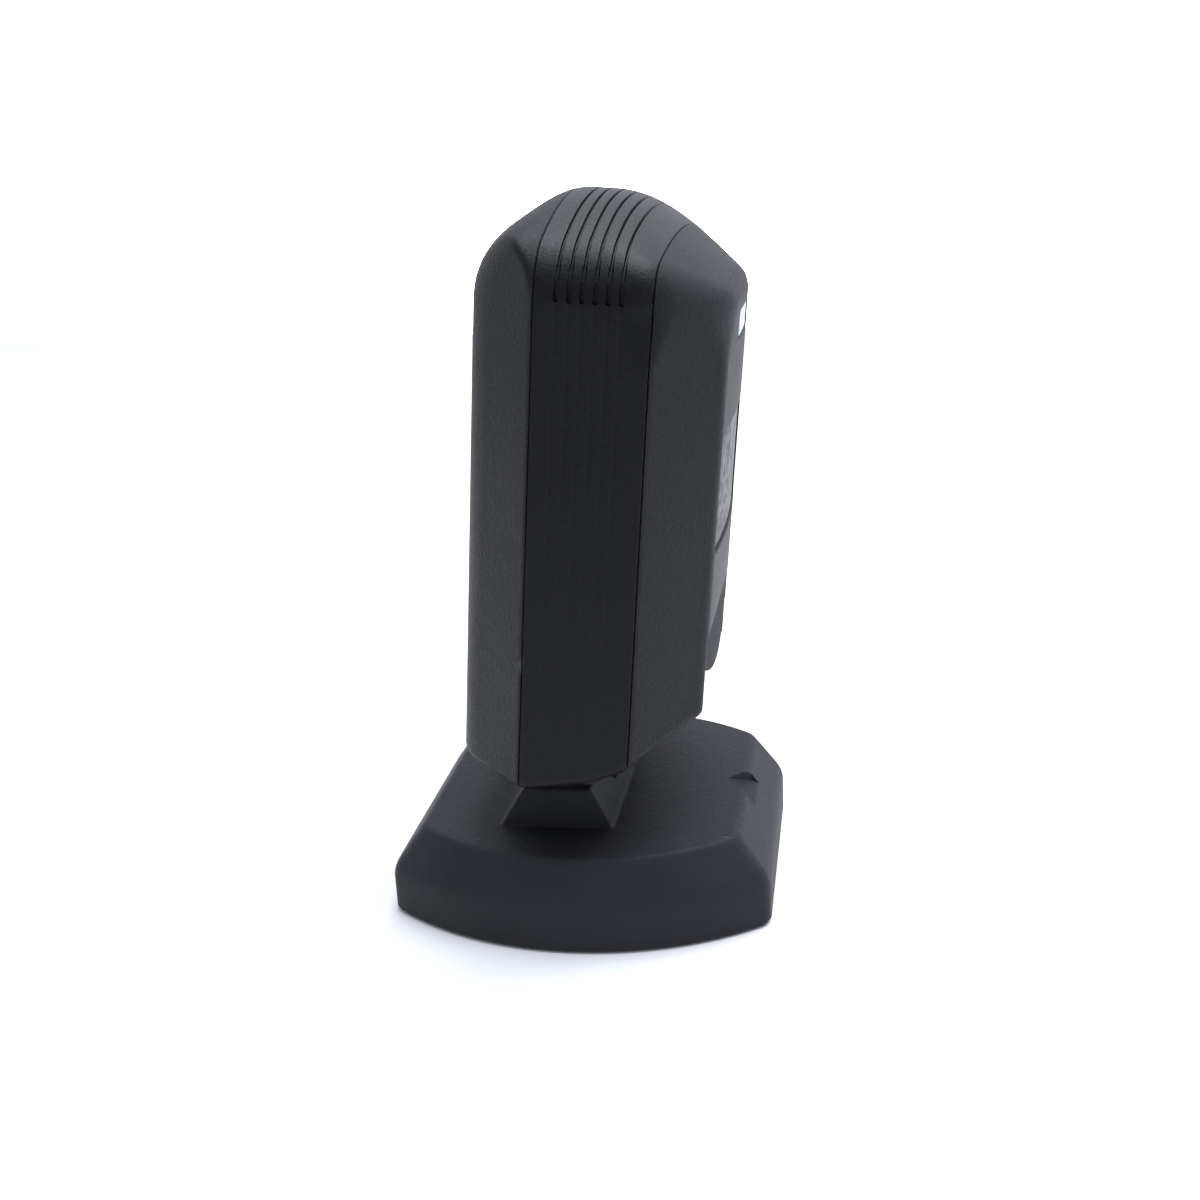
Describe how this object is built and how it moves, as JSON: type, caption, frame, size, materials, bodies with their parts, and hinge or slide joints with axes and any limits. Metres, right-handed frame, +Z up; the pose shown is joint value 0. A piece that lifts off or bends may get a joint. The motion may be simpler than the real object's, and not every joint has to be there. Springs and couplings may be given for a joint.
{
  "type": "presentation barcode scanner",
  "caption": "Hands-free countertop barcode scanner: ribbed head with front scan window, tilting on a weighted faceted foot.",
  "frame": {"origin": "centre of the footprint, on the counter surface", "axes": "+Z up, the scan window looks towards -Y, +X runs across the width of the head"},
  "size_m": [0.086, 0.0812, 0.1486],
  "materials": {
    "shell_plastic": "fine matte grain, charcoal",
    "band_plastic": "smoother satin black",
    "inner_plastic": "plain moulded",
    "ballast_iron": "raw casting",
    "rubber": "dull",
    "foam_rubber": "closed-cell foam",
    "steel": "zinc plated",
    "bracket_metal": "black powder coat",
    "motor_metal": "machined",
    "brass": "machined",
    "speaker_metal": "satin",
    "mirror_glass": "front-surface mirror",
    "window_glass": "polished, dark red tint",
    "light_bar": "frosted light pipe",
    "circuit_board": "solder mask",
    "chip_plastic": "moulded epoxy",
    "detector_plastic": "filter red"
  },
  "bodies": {
    "base": {"base_cover": "shell_plastic", "base_plate": "inner_plastic", "ballast_weights": "ballast_iron", "rubber_feet": "rubber", "base_screws": "steel", "hinge_bracket": "bracket_metal", "bracket_screws": "steel"},
    "head": {"center_band": "band_plastic", "front_shell": "shell_plastic", "rear_shell": "shell_plastic", "front_mask": "shell_plastic", "scan_window": "window_glass", "window_gasket": "foam_rubber", "led_lens": "light_bar", "led_board": "circuit_board", "optical_chassis": "inner_plastic", "main_board": "circuit_board", "board_components": "chip_plastic", "board_screws": "steel", "cable_socket": "chip_plastic", "speaker": "speaker_metal", "shell_screws": "steel", "tilt_yoke": "bracket_metal", "yoke_screws": "steel", "hinge_pin": "steel", "friction_washers": "brass", "motor_stator": "motor_metal", "motor_bearing": "brass", "laser_module": "brass", "collecting_mirror": "mirror_glass", "pattern_mirrors": "mirror_glass", "detector": "detector_plastic", "switch_board": "circuit_board"},
    "button": {"mode_button": "band_plastic"},
    "rotor": {"rotor_hub": "motor_metal", "polygon_mirror": "mirror_glass"}
  },
  "joints": [
    {"name": "head_tilt", "type": "hinge", "parent": "base", "child": "head", "pos_m": [0, -0.0015, 0.034], "axis": [1, 0, 0], "range_deg": [-20, 10]},
    {"name": "button_press", "type": "slide", "parent": "head", "child": "button", "axis": [0, 0.9959, 0.0906], "range_m": [0, 0.0012]},
    {"name": "mirror_spin", "type": "hinge", "parent": "head", "child": "rotor", "pos_m": [0, -0.00421, 0.05765], "axis": [0, -0.0906, 0.9959], "continuous": true}
  ]
}
